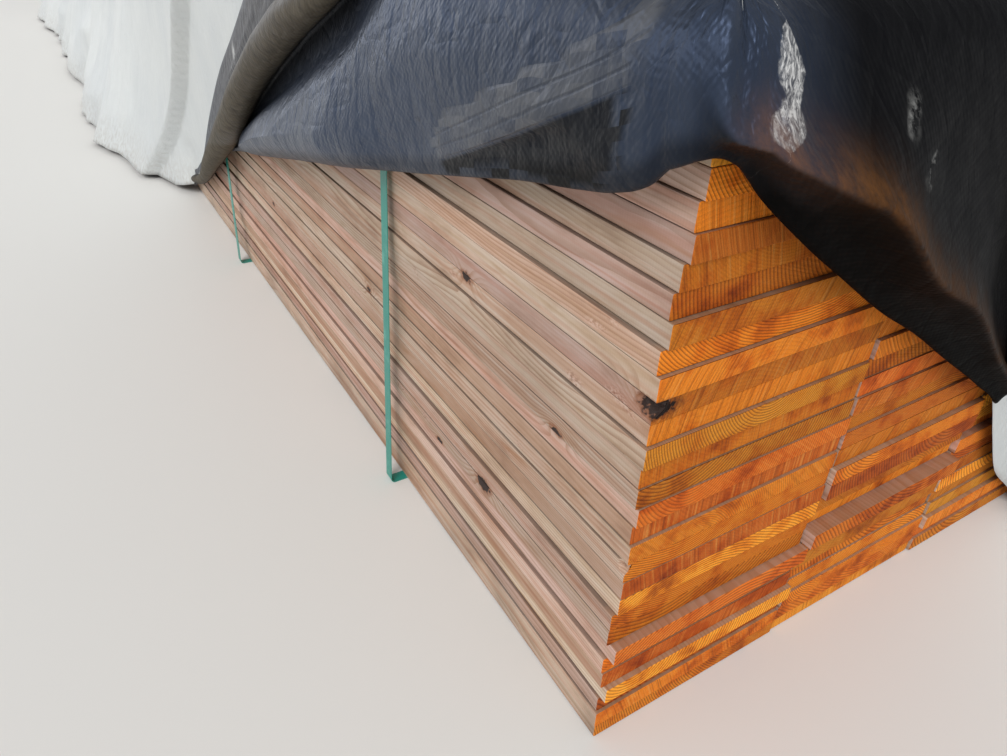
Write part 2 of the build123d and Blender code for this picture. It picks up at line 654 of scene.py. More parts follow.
@dataclass(frozen=True)
class WovenPolyethylene:
    """Coated woven polyethylene sheet: 3 mm tapes under a thin glossy film, which
    creases white along sharp folds, with a painted highlight there, and gathers dust.

    The mesh holds three sets of marks: "marks" (dust on the rolled hem, white scuffs,
    height above the taped seam in units of its band), "film" (gloss, which also sets painted
    shade, place beside the creased spindle, its half width) and "highlight_tape_shade"
    (painted brown highlight on the ridge, taped seam, painted shade in the hollow).
    """

    side: WrapSide
    colour: str
    shade: str
    scuff: str
    painted_shade: str
    sheen: str
    roughness: float
    shine: float
    crinkle: float
    index: float
    wear: float = 0.3
    dust: str = "6A6151"
    bare: str = "E4E4E0"
    # the painted brown highlight on the sharp ridge
    brown: str = "64401F"
    tape: str = "66645F"
    stitch: str = "101112"
    weave: tuple[str, str] = ("0D0C0B", "22211F")
    splash: str = "8D7B66"

    def material(self) -> bpy.types.Material:
        """Tape weave on the sheet's own UV map, crinkles, scuffs, worn fold and soil, with painted
        reflection, highlight and shade.

        Returns:
            The material for one side of the sheet.
        """
        f = Finish(self.side.value)
        uv, place = (f.add("TexCoord", out=kind) for kind in ("UV", "Object"))
        dusty, scuffed, above = f.stored("marks")
        gloss_and_shade, aside, half = f.stored("film")
        ridge_glow, taped, hollow = f.stored("highlight_tape_shade")
        # tapes 3 mm wide, one over and one under
        warp, weft, _ = (
            (way * (TURN / (6.0 * MM))).into("Math", operation="SINE") for way in uv.parts("SeparateXYZ")
        )
        crumple, drags, foil = (
            uv.into("Mapping", Scale=scale)
            .into("TexNoise", Scale=1.0, Detail=detail, Roughness=rough, Distortion=bend)
            for scale, detail, rough, bend in (
                # crinkles of the film: 8 mm across and 14 mm along the hang, and drawn folds
                ((120.0, 70.0, 1.0), 2.0, 0.5, 0.4), ((60.0, 12.0, 1.0), 2.0, 0.5, 0.5),
                # the film broken up fine on the sharp fold at the corner
                ((420.0, 150.0, 1.0), 4.0, 0.7, 1.2),
            )
        )
        rub = uv.into("TexNoise", Scale=38.0, Detail=6.0, Roughness=0.75)
        cell = uv.into("TexVoronoi", Scale=34.0, feature="DISTANCE_TO_EDGE")
        cloud = place.into("TexNoise", Scale=5.0, Detail=5.0).into("MapRange", 0.4, 0.68)
        # the sharp fold at the corner, creased silver with a painted highlight: a spindle with a ragged edge
        ragged = (aside + (rub * 7.0 * MM - 3.5 * MM)).into("Math", operation="ABSOLUTE")
        spindle = ragged / half.into("Math", 0.05 * MM, operation="MAXIMUM")
        silver_highlight = foil.into("ValToRGB", stops=((0.35, "6F6F6E"), (0.50, "A3A2A0"), (0.62, "D2D1CE")))
        shining = spindle.into("MapRange", 1.15, 0.85) * foil.into("MapRange", 0.36, 0.56, 0.35, 1.0)
        # the seam: a taped band above its line, with three stitched rows, whose tapes
        # end and overlap in pieces of 24 mm by 8 mm
        over_line = above.into("Math", 0.0, operation="GREATER_THAN")
        band = above.into("Math", 0.99, operation="LESS_THAN") * over_line
        rows = (above * 3.0).into("Math", operation="FRACT") - 0.5
        bead = rows.into("Math", operation="ABSOLUTE").into("MapRange", 0.34, 0.46)
        pieces = uv.into("VectorMath", (24 * MM, 8 * MM, 1.0), operation="SNAP")
        piece = pieces.into("TexWhiteNoise", noise_dimensions="2D")
        kept = piece * 0.5 + taped - 0.25
        held = kept.into("MapRange", 0.35, 0.60, interpolation_type="SMOOTHSTEP")
        stitch = band * held * bead
        # below the seam the bare weave has no gloss; in the hollow under the ridge the same dark, glossless
        # weave is painted shade
        patch = above.into("MapRange", 0.0, -0.10) * held
        bare_and_shaded = patch.into("Math", hollow, operation="MAXIMUM")
        under, over = self.weave
        bare_weave = f.add("Mix", {0: piece * patch, 6: under, 7: over}, 2, data_type="RGBA")
        # splashed soil on the lowest 120 mm
        low = place.parts("SeparateXYZ")[2].into("MapRange", 0.12, 0.0)
        layers = (
            # cloudy blotches of the shade colour: painted shade on the white side, a lighter blue painted
            # reflection of sky on the black side
            (cloud, self.shade),
            (drags.into("MapRange", 0.46, 0.70, 0.0, 0.13), self.scuff),
            # painted shade: dark brown where the gloss is low, as on the end, in the valley, on the rolled
            # hem and along the fold
            (gloss_and_shade * -1.0 + 1.0, self.painted_shade),
            (rub.into("MapRange", 0.64, 0.74) * self.wear * gloss_and_shade, self.scuff),
            (dusty * crumple.into("MapRange", 0.25, 0.65, 0.40, 0.75), self.dust),
            (scuffed * rub.into("MapRange", 0.46, 0.60), self.bare),
            (shining, silver_highlight),
            # painted brown highlight along the sharp ridge on the end, for light bounced up from below
            (ridge_glow * rub.into("MapRange", 0.38, 0.60, 0.25, 1.0), self.brown),
            (band * held * (piece * 0.45 + 0.10), self.tape),
            (stitch * 0.5, self.stitch),
            # the bare weave below the seam, and painted shade in the hollow
            (bare_and_shaded * 0.9, bare_weave),
            (low * crumple.into("MapRange", 0.35, 0.7) * 0.40, self.splash),
        )
        worn = rub.into("MapRange", 0.3, 0.75, self.roughness - 0.05, self.roughness + 0.16)
        facets = cell.into("MapRange", 0.0, 0.12)
        folds = crumple * (gloss_and_shade * 1.2 + 0.4) + facets * 0.3 + drags * gloss_and_shade * 2.2
        height = folds * self.crinkle + warp * weft * 0.07 + stitch * -0.4
        shine = bare_and_shaded.into("MapRange", 0.0, 1.0, self.shine, 0.2 * self.shine) * gloss_and_shade
        return f.close(
            self.colour, layers, height, 0.6, 2.0 * MM, Roughness=worn + (gloss_and_shade * -0.22 + 0.22),
            IOR=self.index, Specular_Tint=self.sheen, Specular_IOR_Level=shine,
        )


# The boards


@dataclass(frozen=True)
class Bite:
    """A piece missing from one board's near corner at the open end.

    Args:
        layer: The board's layer, counted from the ground.
        reach: How far it goes along the board.
        depth: How far it goes into the near edge.
        height: How much of the board's thickness it takes, from the top.
    """

    layer: int
    reach: float
    depth: float
    height: float


@dataclass
class BoardStack:
    """The layers of planed boards, each a little uneven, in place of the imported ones."""

    across: int = 5
    pitch: float = 237.0 * MM
    ease: float = 1.2 * MM
    end_ease: float = 0.5 * MM
    wear: float = 0.35 * MM
    stations: int = 74
    seed: int = 12
    # layers whose nearest board shows a wider gap above it
    gaping: tuple[int, ...] = (3, 7, 14, 19, 24, 27)
    bites: tuple[Bite, ...] = (Bite(20, 17 * MM, 12 * MM, 13 * MM), Bite(12, 9 * MM, 5 * MM, 9 * MM))

    def board_boxes(self, layer: int) -> list[tuple[np.ndarray, np.ndarray]]:
        """Lowest and highest corners of each board of a packed layer, from the near side.

        Args:
            layer: The layer, counted from 1 at the ground.

        Returns:
            One pair of corners for each board.
        """
        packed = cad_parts[f"layer_{layer:02d}"].data
        co = np.empty(len(packed.vertices) * 3, np.float32)
        packed.vertices.foreach_get("co", co)
        co = co.reshape(-1, 3).astype(float)
        column = ((co[:, 1] - co[:, 1].min() + MM) / self.pitch).astype(int)
        column = np.clip(column, 0, self.across - 1)
        return [(co[column == c].min(axis=0), co[column == c].max(axis=0)) for c in range(self.across)]

    def section(self, fine: bool) -> np.ndarray:
        """A board's section as a closed line of points, and its eased corners.

        Formula: a rectangle whose corners are each three points on a quarter turn;
        a fine section has more points on its near edge and the near part of its faces.

        Args:
            fine: Whether the near edge gets extra points.

        Returns:
            Rows of (side y, side z, ease y, ease z): the corner that each point
            belongs to, and its offset from it in units of the ease.
        """
        rows = []
        for sy, sz, start in ((-1, -1, 180), (1, -1, 270), (1, 1, 0), (-1, 1, 90)):
            for turn in (0, 45, 90):
                a = math.radians(start + turn)
                rows.append((sy, sz, math.cos(a) - sy, math.sin(a) - sz))
        line = np.array(rows, float)
        if fine:
            edge = np.array([(-1, t, 0, 0) for t in np.linspace(0.8, -0.8, 9)], float)
            face = np.array([(t, 1, 0, 0) for t in (-0.75, -0.83, -0.88, -0.92, -0.95, -0.975)], float)
            line = np.concatenate([line[:9], face, line[9:], edge])
        return line

    def board(
        self, low: np.ndarray, high: np.ndarray, layer: int, column: int
    ) -> tuple[np.ndarray, list, np.ndarray]:
        """One board as a section carried along its length.

        Formula: each point is the section's corner plus its ease, at stations along X;
        the faces draw in by slow noise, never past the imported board's own box, and the
        first and last stations are drawn in by the end ease.

        Args:
            low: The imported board's lowest corner.
            high: Its highest corner.
            layer: Its layer, counted from 1.
            column: Its place across, counted from 0 at the near side.

        Returns:
            Points, polygons, and a material number for each polygon.
        """
        seen = column in (0, self.across - 1)
        bite = next((b for b in self.bites if b.layer == layer and column == 0), None)
        inner = np.linspace(low[0] + 20 * MM, high[0] - 20 * MM, self.stations if seen else 4)
        if bite:
            inner = np.concatenate([inner, high[0] - np.linspace(1.0, 60.0, 30) * MM])
        ends = [low[0], low[0] + self.end_ease, high[0] - self.end_ease, high[0]]
        x = np.unique(np.concatenate([ends, inner]))
        side_y, side_z, ease_y, ease_z = self.section(bite is not None).T[:, None, :]
        key = 131 * layer + 17 * column
        middle, half = (low + high) / 2, (high - low) / 2
        tight = np.where((x <= low[0]) | (x >= high[0]), self.end_ease, 0.0)
        loose = 2.6 if layer in self.gaping and column == 0 else 1.0
        top = self.wear * loose * (0.5 + 0.5 * noise(x / 0.55, key, 3)) + tight
        bottom = self.wear * (0.5 + 0.5 * noise(x / 0.7, key, 4)) + tight
        near = 0.6 * self.wear * (1 + noise(x / 0.8, key, 5)) + tight
        y = middle[1] + side_y * (half[1] - near[:, None]) + ease_y * self.ease
        z = middle[2] + side_z * half[2] + ease_z * self.ease
        z = z - np.clip(side_z, 0, 1) * top[:, None] + np.clip(-side_z, 0, 1) * bottom[:, None]
        if bite:
            y, z = self.bitten(bite, x, y, z, low, high)
        points = np.stack(np.broadcast_arrays(x[:, None], y, z), -1)
        count, around = points.shape[:2]
        i, j = np.arange(count - 1)[:, None] * around, np.arange(around)[None, :]
        k = (j + 1) % around
        sides = np.stack([i + j, i + k, i + around + k, i + around + j], -1).reshape(-1, 4).tolist()
        caps = [list(range(around - 1, -1, -1)), list(range((count - 1) * around, count * around))]
        slots = np.zeros(len(sides) + 2, int)
        slots[:around] = slots[-around - 2 :] = 1
        return points.reshape(-1, 3), sides + caps, slots

    def bitten(
        self, bite: Bite, x: np.ndarray, y: np.ndarray, z: np.ndarray, low: np.ndarray, high: np.ndarray
    ) -> tuple[np.ndarray, np.ndarray]:
        """Push a board's near edge in where wood is missing at the open end.

        Formula: the depth falls off as an ellipse from the end's top near corner,
        roughened by fine creases, and moves points inwards, and down where they lie on
        the top face.

        Args:
            bite: The missing piece.
            x: Stations along the board.
            y: Places across, in the shape (stations, points).
            z: Heights, in the same shape.
            low: The board's lowest corner.
            high: The board's highest corner.

        Returns:
            The new places across and heights.
        """
        along = (high[0] - x)[:, None] / bite.reach
        down = (high[2] - z) / bite.height
        inwards = (y - low[1]) / bite.depth
        rough = 0.75 + 0.5 * crease(x[:, None] / (4 * MM), z / (3 * MM), 7)
        side = np.sqrt(np.clip(1 - along**2 - np.clip(down - 0.1, 0, None) ** 2, 0, 1))
        y = np.where(inwards < side, low[1] + bite.depth * side * rough, y)
        roof = np.sqrt(np.clip(1 - along**2 - inwards**2, 0, 1))
        z = np.where((down < 0.25) & (roof > 0), z - 0.75 * bite.height * roof * rough, z)
        return y, z

    def build(self, planed: bpy.types.Material, sawn: bpy.types.Material) -> list[bpy.types.Object]:
        """Make every layer as one piece of boards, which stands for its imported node.

        Args:
            planed: The faces' material.
            sawn: The ends' material.

        Returns:
            The layers' pieces.
        """
        pieces = []
        rng = np.random.default_rng(self.seed)
        for layer in range(1, LAYERS + 1):
            points, faces, slots, pith, looks = [], [], [], [], []
            for column, (low, high) in enumerate(self.board_boxes(layer)):
                p, polygons, s = self.board(low, high, layer, column)
                start = sum(len(q) for q in points)
                faces += [[c + start for c in polygon] for polygon in polygons]
                points.append(p)
                slots.append(s)
                side = 1 if rng.random() < 0.5 else -1
                core = (
                    (low + high)[1] / 2 + rng.uniform(-0.09, 0.09),
                    (low + high)[2] / 2 + side * rng.uniform(0.02, 0.16),
                    rng.uniform(2.2, 4.6) * MM,
                )
                pith.append(np.tile(core, (len(p), 1)))
                looks.append(np.tile(rng.random(3), (len(p), 1)))
            piece = make_mesh(f"boards_{layer:02d}", np.concatenate(points), faces, smooth=False)
            piece.data.polygons.foreach_set("material_index", np.concatenate(slots).astype(np.int32))
            set_attribute(piece.data, "pith", np.concatenate(pith))
            set_attribute(piece.data, "looks", np.concatenate(looks))
            piece.data.materials.append(planed)
            piece.data.materials.append(sawn)
            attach(piece, "root")
            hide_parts(f"layer_{layer:02d}")
            pieces.append(piece)
        return pieces


# The wrap


@dataclass(frozen=True)
class WrapPath:
    """Where the wrap lies: columns round the stack, and a way from the ground over the
    top edge to the middle of the top.

    A place on it is (ring, out, w, d): where its column starts and which way that
    faces, the way up the wall and then inwards on the top, and the distance off.
    """

    near: float
    far: float
    reach: float
    top: float
    clear: float = 4.0 * MM
    corner: float = 12.0 * MM
    edge: float = 6.0 * MM
    least: float = 1.5 * MM
    slit: float = 2.0 * MM

    @property
    def half(self) -> np.ndarray:
        """Half the length and half the width of the ring that the columns start from."""
        return np.array([self.reach + self.clear, (self.far - self.near) / 2 + self.clear])

    def columns(
        self, side: int, *runs: tuple[float, float, int]
    ) -> tuple[np.ndarray, np.ndarray, np.ndarray]:
        """Columns on one straight side of the ring.

        Args:
            side: 0 near, 1 open end, 2 far, 3 covered end, taken anticlockwise.
            *runs: Stretches along the side as (start, end, count), from -1 to 1.

        Returns:
            Places on the ring, outward directions, and the side's number for each.
        """
        t = np.concatenate([np.linspace(a, b, n, endpoint=False) for a, b, n in runs] + [[runs[-1][1]]])
        (a, b), (long, wide) = self.half - self.corner, self.half
        x, y, out = (
            (t * a, -wide, (0.0, -1.0)), (long, t * b, (1.0, 0.0)),
            (-t * a, wide, (0.0, 1.0)), (-long, -t * b, (-1.0, 0.0)),
        )[side]
        ring = np.stack(np.broadcast_arrays(x, y), 1)
        return ring, np.tile(out, (len(t), 1)), np.full(len(t), side)

    def turn(self, side: int, count: int) -> tuple[np.ndarray, np.ndarray, np.ndarray]:
        """Columns round the corner that follows a side, without its two ends.

        Args:
            side: The side that it follows.
            count: How many columns.

        Returns:
            Places on the ring, outward directions, and the nearer side's number.
        """
        signs = ((1, -1), (1, 1), (-1, 1), (-1, -1))[side]
        angle = np.radians(90 * (side - 1) + 90 * (np.arange(1, count + 1) / (count + 1)))
        out = np.stack([np.cos(angle), np.sin(angle)], 1)
        ring = (self.half - self.corner) * signs + self.corner * out
        return ring, out, np.where(np.arange(count) < count / 2, side, (side + 1) % 4)

    def place(self, ring: np.ndarray, out: np.ndarray, w: np.ndarray, d: np.ndarray) -> np.ndarray:
        """Places in the frame for ways up and distances off.

        Formula: below the edge's curve a point is on the wall; round the curve it
        turns from the wall's direction to straight up; past it, it moves inwards. A
        point that lies some way inwards is on a rounded rectangle that is smaller by
        that much on all sides, whose corners never get tighter than the least radius.

        Args:
            ring: Ring places in the shape (columns, 2).
            out: Outward directions in the same shape.
            w: The way up in the shape (columns, rows).
            d: The distance off in the same shape.

        Returns:
            Places in the shape (columns, rows, 3).
        """
        rise = self.top - self.edge
        bent = np.clip((w - rise) / self.edge, 0, math.pi / 2)
        over = np.clip(w - rise - self.edge * math.pi / 2, 0, None)
        inwards = self.edge * (1 - np.cos(bent)) - d * np.cos(bent) + over
        inwards = np.minimum(inwards, self.half[1] - self.slit)
        z = np.minimum(w, rise) + (self.edge + d) * np.sin(bent)
        radius = np.maximum(self.corner - inwards, self.least)
        share = (self.half - (inwards + radius)[..., None]) / (self.half - self.corner)
        core = ring - self.corner * out
        flat = core[:, None, :] * share + out[:, None, :] * radius[..., None]
        return np.concatenate([flat + [0.0, (self.far + self.near) / 2], z[..., None]], axis=-1)


@dataclass
class Flap:
    """The turned-up corner's grid while it is worked out.

    Args:
        q: Each column's distance from the near corner, in the shape (columns, 1).
        s: The same distance measured on the cloth, round the corner.
        w: The way up, in the shape (columns, rows).
        d: The distance off, in the same shape.
        rolled: 1 on the rows of the rolled hem.
        flat_rim: 1 on the rows of its flat rim.
        hollow: 1 in the hollow under the ridge on the end, where shade is painted.
        shown: 1 where the cloth is outside the fold.
        above: The height above the seam's line.
        room: The height of the seam's line above the fold.
        end: 1 on the end, 0 on the long side.
    """

    q: np.ndarray
    s: np.ndarray
    w: np.ndarray
    d: np.ndarray
    rolled: np.ndarray
    flat_rim: np.ndarray
    hollow: np.ndarray
    shown: np.ndarray | None = None
    above: np.ndarray | None = None
    room: np.ndarray | None = None
    end: np.ndarray | None = None


@dataclass(frozen=True)
class LumberWrap:
    """The woven sheet over the stack: a cover that hangs to the ground, and the corner
    of it that is turned back up over itself, black side out.

    The tables below give heights, as a way up, and distances off by the distance from
    the near corner of the open end: negative along the boards, positive on the end.
    """

    path: WrapPath
    thick: float = 0.6 * MM
    hem: float = 6.0 * MM
    foot: float = 150.0 * MM
    cover_rows: int = 64
    flap_rows: int = 118
    flap_edge: float = 22.0 * MM
    flap_along: float = 1.66
    flap_across: float = 0.443
    # the turned-up edge
    fold: Table = (
        (-1.70, 0.010), (-1.623, 0.032), (-1.516, 0.082), (-1.353, 0.160), (-1.168, 0.236),
        (-1.079, 0.262), (-0.825, 0.324), (-0.620, 0.375), (-0.505, 0.403), (-0.349, 0.440),
        (-0.219, 0.474), (-0.144, 0.494), (-0.080, 0.508), (-0.046, 0.517), (-0.020, 0.529),
        (-0.008, 0.541), (0.0, 0.547), (0.010, 0.539), (0.028, 0.521), (0.075, 0.485),
        (0.114, 0.459), (0.176, 0.418), (0.236, 0.383), (0.298, 0.343), (0.381, 0.290),
        (0.450, 0.240), (0.505, 0.165), (0.558, 0.095), (0.618, 0.045), (0.660, 0.012),
    )
    # how far that edge stands off on the end
    lip: Table = (
        (0.0, 0.012), (0.028, 0.016), (0.05, 0.018), (0.12, 0.017), (0.30, 0.014), (0.455, 0.013),
    )
    # the sharp ridge above it on the end, and how far it stands off
    ridge: Table = (
        (-0.02, 0.560), (0.0, 0.560), (0.014, 0.550), (0.029, 0.543), (0.048, 0.534), (0.088, 0.516),
        (0.108, 0.501), (0.158, 0.462), (0.232, 0.423), (0.30, 0.377), (0.36, 0.330), (0.455, 0.262),
    )
    ridge_off: Table = (
        (0.0, 0.026), (0.014, 0.034), (0.029, 0.042), (0.048, 0.050), (0.10, 0.056),
        (0.16, 0.053), (0.24, 0.047), (0.32, 0.034), (0.455, 0.022),
    )
    # the hollow between the flap and the rolled hem above it
    valley: Table = (
        (-1.70, 0.018), (-1.50, 0.086), (-1.30, 0.178), (-1.20, 0.230), (-1.117, 0.268),
        (-0.806, 0.400), (-0.643, 0.469), (-0.52, 0.521), (-0.428, 0.562), (-0.30, 0.66),
        (-0.20, 0.76), (-0.10, 0.86), (0.0, 0.935), (0.05, 0.925), (0.14, 0.84), (0.22, 0.72),
        (0.28, 0.60), (0.33, 0.455), (0.37, 0.385), (0.405, 0.325), (0.445, 0.262),
    )
    # the outer edge of the rolled hem
    rim: Table = (
        (-1.70, 0.040), (-1.497, 0.118), (-1.261, 0.277), (-1.071, 0.397), (-0.934, 0.471),
        (-0.847, 0.520), (-0.70, 0.60), (-0.55, 0.69), (-0.40, 0.79), (-0.20, 0.94),
        (0.0, 1.043), (0.05, 1.03), (0.14, 0.935), (0.22, 0.83), (0.28, 0.73),
        (0.33, 0.60), (0.37, 0.49), (0.405, 0.40), (0.445, 0.31),
    )
    # the middle of the rolled tube on that hem, and how far it stands off
    tube: Table = (
        (-1.70, 0.022), (-1.45, 0.100), (-1.20, 0.218), (-1.00, 0.320), (-0.80, 0.432),
        (-0.60, 0.526), (-0.428, 0.600), (-0.30, 0.69), (-0.20, 0.79), (-0.10, 0.89),
        (0.0, 0.965), (0.05, 0.955), (0.14, 0.868), (0.22, 0.752), (0.28, 0.638),
        (0.33, 0.500), (0.37, 0.418), (0.405, 0.348), (0.445, 0.277),
    )
    tube_off: Table = (
        (-1.7, 0.012), (-1.45, 0.024), (-1.2, 0.044), (-0.9, 0.053), (-0.5, 0.052),
        (-0.1, 0.045), (0.2, 0.032), (0.38, 0.034), (0.46, 0.036),
    )
    tube_half: Table = (
        (-1.7, 0.006), (-1.45, 0.012), (-1.2, 0.019), (-1.0, 0.026), (-0.8, 0.022),
        (-0.6, 0.021), (0.3, 0.022), (0.46, 0.012),
    )
    # the taped seam on the long side
    seam: Table = (
        (-0.42, 0.428), (-0.34, 0.440), (-0.235, 0.484), (-0.175, 0.511), (-0.081, 0.551),
        (-0.015, 0.580), (0.02, 0.590),
    )
    seam_band: float = 30.0 * MM
    # the sharp fold at the corner, creased silver with a painted highlight: by the way up,
    # its place along the cloth and half its width
    spindle: Table = (
        (0.5535, 0.0472), (0.5585, 0.0472), (0.5625, 0.048), (0.5665, 0.0488), (0.571, 0.0490),
        (0.577, 0.0530), (0.5833, 0.0532), (0.590, 0.0520), (0.5935, 0.0506), (0.5962, 0.0504),
        (0.598, 0.0504),
    )
    spindle_half: Table = (
        (0.5535, 0.0), (0.5585, 0.0066), (0.5625, 0.0088), (0.5665, 0.0080), (0.571, 0.0052),
        (0.577, 0.0046), (0.5833, 0.0066), (0.590, 0.0078), (0.5935, 0.0042), (0.5962, 0.0010),
        (0.598, 0.0),
    )
    # small white scuffs on the film: place along the cloth, way up, size
    scuffs: tuple[tuple[float, float, float], ...] = (
        (-0.962, 0.440, 0.008), (-0.988, 0.427, 0.006), (0.134, 0.563, 0.0035), (0.163, 0.531, 0.0035),
    )

    def station(self, ring: np.ndarray, side: np.ndarray) -> np.ndarray:
        """Each column's distance from the near corner of the open end.

        Formula: along the near side it is the place along the boards less the
        corner's, and on the end the place across less the corner's.

        Args:
            ring: Ring places in the shape (columns, 2).
            side: The side's number for each.

        Returns:
            Distances, negative on the near side, and past 8 on the other two sides.
        """
        along = np.minimum(ring[:, 0] - self.path.reach, 0)
        across = np.maximum(ring[:, 1] + (self.path.far - self.path.near) / 2, 0)
        return np.where(side == 0, along, np.where(side == 1, across, 9.0))

    def cover_grid(self) -> tuple[np.ndarray, ...]:
        """Columns all round the stack, closer together where the photograph looks.

        Returns:
            Ring places, outward directions, places round the ring, ways up and
            distances off.
        """
        p = self.path
        near = p.columns(0, (-1, 0.0, 74), (0.0, 0.5, 112), (0.5, 1.0, 52))
        end = p.columns(1, (-1, 0.1, 40), (0.1, 1, 30))
        far, covered = p.columns(2, (-1, 1, 230)), p.columns(3, (-1, 1, 56))
        parts = (near, p.turn(0, 6), end, p.turn(1, 8), far, p.turn(2, 8), covered, p.turn(3, 8))
        ring, out, side = (np.concatenate(v) for v in zip(*parts))
        q = self.station(ring, side)
        run = np.cumsum(np.concatenate([[0], np.linalg.norm(np.diff(ring, axis=0), axis=1)]))
        # places round the ring without a jump where the last column meets the first
        total = run[-1] + np.linalg.norm(ring[0] - ring[-1])
        around = np.where(np.arange(len(run)) < len(near[0]), run, run - total)
        lifted = (q > self.fold[0][0]) & (q < self.fold[-1][0])
        turned = curve(self.fold, q) + 12 * MM * smoothstep(-1.5, -1.2, q)
        hanging = self.hem + 4.5 * MM * (1 + noise(around / 0.31, 0, 21))
        low = np.where(lifted, turned, hanging)[:, None]
        # part of the rows cross the top, and the rest go down the side
        on_top = 0.3
        share = np.linspace(0, 1, self.cover_rows)[None, :]
        brink = p.top - p.edge + p.edge * math.pi / 2
        deep = p.half[1] - p.edge - p.slit
        across = brink + deep * np.clip(1 - share / on_top, 0, 1) ** 1.2
        down = low + (brink - low) * (1 - np.clip((share - on_top) / (1 - on_top), 0, 1)) ** 1.05
        w = np.where(share < on_top, across, down)
        d = self.cover_off(q, around, w)
        # under the turned-up corner the cover lies close to the boards
        rim = np.where(lifted, curve(self.rim, q), -1.0)[:, None]
        under = smoothstep(0.10, 0.03, w - rim) * smoothstep(-1.66, -1.60, q)[:, None]
        return ring, out, run, w, d * (1 - under) + np.minimum(d, 2 * MM) * under

    def cover_off(self, q: np.ndarray, run: np.ndarray, w: np.ndarray) -> np.ndarray:
        """How far the cover stands off the stack.

        Formula: it spreads towards the ground with a power of the drop, times folds
        that run down the skirt and deepen as they go; near the flap it hugs the
        boards. The top has low slack folds and is level along its middle.

        Args:
            q: Each column's distance from the near corner.
            run: Each column's distance round the ring.
            w: The way up, in the shape (columns, rows).

        Returns:
            Distances off, in the shape of w.
        """
        p = self.path
        beside = np.where(q < 8, smoothstep(0.46, 0.78, q), 1.0)
        free = np.where(q < 0, smoothstep(-1.45, -2.15, q), beside)[:, None]
        drop = np.clip((p.top - w) / p.top, 0, 1)
        x = run[:, None]
        slow = noise(x / 0.62 + 0.25 * drop, 0.6 * drop, 31)
        hang = crease(x / 0.30 + 0.35 * drop, 0.9 * drop, 33) - 0.45
        fine = crease(x / 0.11 + 0.5 * drop, 2.2 * drop, 37) - 0.45
        drawn = crease(x / 0.050 + 0.3 * drop, 1.1 * drop, 45, 1) - 0.4
        soft = noise(x / 0.5, w / 0.18, 39)
        even = 1 - 0.6 * smoothstep(0.75, 1.0, drop)
        spread = self.foot * drop**1.9 * (1 + 0.16 * slow)
        folds = drop**0.8 * (54 * MM * hang + 10 * MM * even * fine)
        folds = folds + 4 * MM * drop**0.3 * soft + 3.5 * MM * even * drop**0.4 * drawn
        # the overlap's free edge on the long side stands out and casts a shadow
        past = q[:, None] + 1.32 + 1.1 * (0.453 - w)
        step = smoothstep(0.008, -0.008, past) * np.exp(np.clip(past, None, 0) / 0.40)
        step = step * smoothstep(0.02, 0.25, drop) * (q < 0)[:, None]
        wall = 2.5 * MM + free * (spread + folds) + 30 * MM * step
        flat = smoothstep(p.top - 0.01, p.top + 0.03, w)
        slack = 5 * MM * crease(x / 0.42, w / 0.16, 41) ** 2 + 2 * MM * noise(x / 0.13, w / 0.09, 43)
        loose = smoothstep(0.0, 0.14, p.top + p.half[1] - p.edge - w)
        lying = np.abs(1.5 * MM + slack) * loose + 3 * MM * (1 - loose)
        return np.clip(wall * (1 - flat) + lying * flat, 1.2 * MM, None)

    def roll_way(self, q: np.ndarray, valley: np.ndarray, rim: np.ndarray) -> list[tuple[np.ndarray, ...]]:
        """The section of the rolled hem: up round its tube and back under its flat rim.

        Args:
            q: Each column's distance from the near corner.
            valley: Where the roll starts, as a way up for each column.
            rim: Where it ends.

        Returns:
            Control points as pairs of way up and distance off.
        """
        size, half, tube = (curve(v, q) for v in (self.tube_off, self.tube_half, self.tube))
        rest = np.maximum(rim - tube - 1.2 * half, 4 * MM)
        bulge = (
            (-1.00, 0.38), (-1.25, 0.66), (-0.80, 1.00), (0.15, 1.10), (0.95, 0.86), (1.15, 0.52),
        )
        return [
            (valley + 2 * MM, 9 * MM), (tube - 0.4 * half, 9 * MM),
            *[(tube + up * half, off * size) for up, off in bulge],
            (tube + 1.2 * half + 0.10 * rest, 0.36 * size), (tube + 1.2 * half + 0.45 * rest, 0.40 * size),
            (rim - 0.05 * rest, 0.36 * size), (rim, 0.24 * size),
            (rim - 0.05 * rest, 0.10 * size), (rim - 0.35 * rest, 5 * MM),
        ]

    def flap_grid(self) -> tuple[np.ndarray, np.ndarray, Flap]:
        """Columns of the turned-up corner, each a line from inside the fold, round it
        and up over the top edge to the rolled hem.

        Returns:
            Ring places, outward directions, and the grid.
        """
        p = self.path
        a, b = p.half - p.corner
        start, close = (p.reach - self.flap_along) / a, 1 - 0.10 / a
        fine, stop = -1 + 0.07 / b, (self.flap_across - (p.far - p.near) / 2) / b
        parts = (
            p.columns(0, (start, close, 225), (close, 1.0, 34)), p.turn(0, 52),
            p.columns(1, (-1, fine, 30), (fine, stop, 70)),
        )
        ring, out, side = (np.concatenate(v) for v in zip(*parts))
        q = self.station(ring, side)
        fold, valley, rim = (curve(v, q) for v in (self.fold, self.valley, self.rim))
        valley, rim = np.maximum(valley, fold + 12 * MM), np.maximum(rim, fold + 30 * MM)
        lift = valley - fold
        wide = smoothstep(0.015, 0.09, lift)
        lip, ridge, far = (curve(v, q) for v in (self.lip, self.ridge, self.ridge_off))
        ridge = np.maximum(ridge, fold + 6 * MM)
        up, out_by, past = ridge - fold, far - lip, valley - ridge
        s = self.measure(ring, out, q)
        snug = smoothstep(-0.52, -0.34, s) * (1 - smoothstep(0.0, 0.05, s))

        def mix(free: float | np.ndarray, closed: float | np.ndarray) -> np.ndarray:
            """A distance where the flap is open, and where only the roll is left."""
            return wide * free + (1 - wide) * closed

